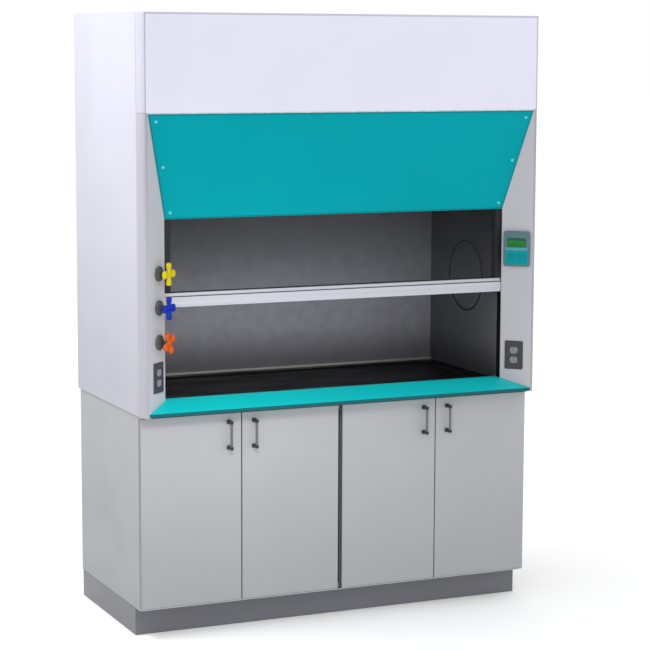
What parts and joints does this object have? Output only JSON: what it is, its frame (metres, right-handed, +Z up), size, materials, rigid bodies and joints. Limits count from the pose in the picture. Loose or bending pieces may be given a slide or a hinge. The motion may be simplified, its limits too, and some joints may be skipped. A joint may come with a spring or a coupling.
{
  "type": "fume hood",
  "caption": "Free-standing laboratory fume hood with a vertical sliding sash over a dark work chamber, slanted service posts with valves and sockets, on two base cabinets.",
  "frame": {"origin": "on the floor under the middle of the hood's footprint", "axes": "+Z up, +X to the right of someone facing the hood, +Y towards the wall behind it"},
  "size_m": [1.66, 0.8159, 2.35],
  "materials": {
    "white_laminate": "smooth white laminate, satin",
    "white_enamel": "white powder coat, satin",
    "teal_enamel": "teal powder coat, satin",
    "teal_panel": "teal faced panel, satin gloss",
    "grey_laminate": "light grey faced board, fine orange peel",
    "liner_board": "dark grey chamber lining board, matt",
    "black_epoxy": "cast black epoxy resin, satin",
    "satin_aluminium": "satin anodised extrusion",
    "dark_track": "dark anodised extrusion",
    "sash_glass": "clear toughened glass",
    "steel": "satin steel, dark handle feet",
    "stainless": "brushed stainless steel",
    "cast_iron": "rough casting, grey primer",
    "belt_rubber": "black toothed belt",
    "dark_plastic": "dark grey moulded plastic",
    "bezel_plastic": "blue-grey moulded housing with a teal keypad",
    "screen": "green display window",
    "key_plastic": "teal keypad plastic",
    "yellow_plastic": "yellow moulded handle",
    "blue_plastic": "blue moulded handle",
    "orange_plastic": "orange moulded handle",
    "lamp_diffuser": "opal diffuser in a white housing"
  },
  "bodies": {
    "root": {"left_side_panel": "white_laminate", "right_side_panel": "white_laminate", "roof_panel": "white_laminate", "back_panel": "white_laminate", "left_post": "white_enamel", "right_post": "white_enamel", "left_corner_trim": "white_enamel", "right_corner_trim": "white_enamel", "upper_fascia": "white_enamel", "sill": "teal_enamel", "lower_fascia": "teal_panel", "plinth": "grey_laminate", "left_cabinet": "grey_laminate", "right_cabinet": "grey_laminate", "left_liner": "liner_board", "right_liner": "liner_board", "left_access_cover": "liner_board", "right_access_cover": "liner_board", "lower_baffle": "liner_board", "upper_baffle": "liner_board", "ceiling_liner": "liner_board", "worktop": "black_epoxy", "left_sash_track": "dark_track", "right_sash_track": "dark_track", "lower_pivot_rail": "steel", "upper_pivot_rail": "steel", "exhaust_collar": "stainless", "rear_strip": "stainless", "left_belt": "belt_rubber", "right_belt": "belt_rubber", "upper_valve_body": "dark_plastic", "middle_valve_body": "dark_plastic", "lower_valve_body": "dark_plastic", "left_socket": "dark_plastic", "right_socket": "dark_plastic", "control_panel": "bezel_plastic", "screen": "screen", "light_fixture": "lamp_diffuser"},
    "left_outer_door": {"left_outer_door": "grey_laminate", "left_outer_handle": "steel"},
    "left_inner_door": {"left_inner_door": "grey_laminate", "left_inner_handle": "steel"},
    "right_inner_door": {"right_inner_door": "grey_laminate", "right_inner_handle": "steel"},
    "right_outer_door": {"right_outer_door": "grey_laminate", "right_outer_handle": "steel"},
    "sash": {"sash_frame": "dark_track", "sash_glass": "sash_glass", "sash_rail": "satin_aluminium"},
    "left_counterweight": {"left_counterweight": "cast_iron"},
    "left_idler": {"left_idler": "steel"},
    "right_counterweight": {"right_counterweight": "cast_iron"},
    "right_idler": {"right_idler": "steel"},
    "cross_shaft": {"cross_shaft": "steel"},
    "upper_valve_handle": {"upper_valve_handle": "yellow_plastic"},
    "middle_valve_handle": {"middle_valve_handle": "blue_plastic"},
    "lower_valve_handle": {"lower_valve_handle": "orange_plastic"},
    "left_button": {"left_button": "key_plastic"},
    "middle_button": {"middle_button": "key_plastic"},
    "right_button": {"right_button": "key_plastic"}
  },
  "joints": [
    {"name": "left_outer_door_hinge", "type": "hinge", "parent": "root", "child": "left_outer_door", "pos_m": [-0.814, -0.329, 0.48175], "axis": [0, 0, -1], "range_deg": [0, 110]},
    {"name": "left_inner_door_hinge", "type": "hinge", "parent": "root", "child": "left_inner_door", "pos_m": [-0.0155, -0.329, 0.48175], "axis": [0, 0, 1], "range_deg": [0, 85]},
    {"name": "right_inner_door_hinge", "type": "hinge", "parent": "root", "child": "right_inner_door", "pos_m": [0.0155, -0.329, 0.48175], "axis": [0, 0, -1], "range_deg": [0, 85]},
    {"name": "right_outer_door_hinge", "type": "hinge", "parent": "root", "child": "right_outer_door", "pos_m": [0.814, -0.329, 0.48175], "axis": [0, 0, 1], "range_deg": [0, 110]},
    {"name": "sash_slide", "type": "slide", "parent": "root", "child": "sash", "axis": [0, 0, 1], "range_m": [-0.344, 0.272]},
    {"name": "left_counterweight_slide", "type": "slide", "parent": "root", "child": "left_counterweight", "axis": [0, 0, 1], "range_m": [-0.273, 0.345]},
    {"name": "right_counterweight_slide", "type": "slide", "parent": "root", "child": "right_counterweight", "axis": [0, 0, 1], "range_m": [-0.273, 0.345]},
    {"name": "cross_shaft_spin", "type": "hinge", "parent": "root", "child": "cross_shaft", "pos_m": [0, -0.2655, 2.28725], "axis": [1, 0, 0], "range_deg": [-535.6, 677.1]},
    {"name": "left_idler_spin", "type": "hinge", "parent": "root", "child": "left_idler", "pos_m": [-0.752, -0.2655, 1], "axis": [1, 0, 0], "range_deg": [-535.6, 677.1]},
    {"name": "right_idler_spin", "type": "hinge", "parent": "root", "child": "right_idler", "pos_m": [0.752, -0.2655, 1], "axis": [1, 0, 0], "range_deg": [-535.6, 677.1]},
    {"name": "upper_valve_spindle", "type": "hinge", "parent": "root", "child": "upper_valve_handle", "pos_m": [-0.75124, -0.34891, 1.392], "axis": [0.6723, -0.7403, 0], "range_deg": [0, 360]},
    {"name": "middle_valve_spindle", "type": "hinge", "parent": "root", "child": "middle_valve_handle", "pos_m": [-0.75124, -0.34891, 1.2645], "axis": [0.6723, -0.7403, 0], "range_deg": [0, 360]},
    {"name": "lower_valve_spindle", "type": "hinge", "parent": "root", "child": "lower_valve_handle", "pos_m": [-0.75124, -0.34891, 1.135], "axis": [0.6723, -0.7403, 0], "range_deg": [0, 360]},
    {"name": "left_button_press", "type": "slide", "parent": "root", "child": "left_button", "axis": [0.6723, 0.7403, 0], "range_m": [0, 0.001], "stiffness_N_per_m": 300},
    {"name": "middle_button_press", "type": "slide", "parent": "root", "child": "middle_button", "axis": [0.6723, 0.7403, 0], "range_m": [0, 0.001], "stiffness_N_per_m": 300},
    {"name": "right_button_press", "type": "slide", "parent": "root", "child": "right_button", "axis": [0.6723, 0.7403, 0], "range_m": [0, 0.001], "stiffness_N_per_m": 300}
  ],
  "couplings": [
    {"joint": "left_counterweight_slide", "follows": "sash_slide", "ratio": -1},
    {"joint": "right_counterweight_slide", "follows": "sash_slide", "ratio": -1},
    {"joint": "cross_shaft_spin", "follows": "sash_slide", "rad_per_m": -34.305},
    {"joint": "left_idler_spin", "follows": "sash_slide", "rad_per_m": -34.305},
    {"joint": "right_idler_spin", "follows": "sash_slide", "rad_per_m": -34.305}
  ]
}
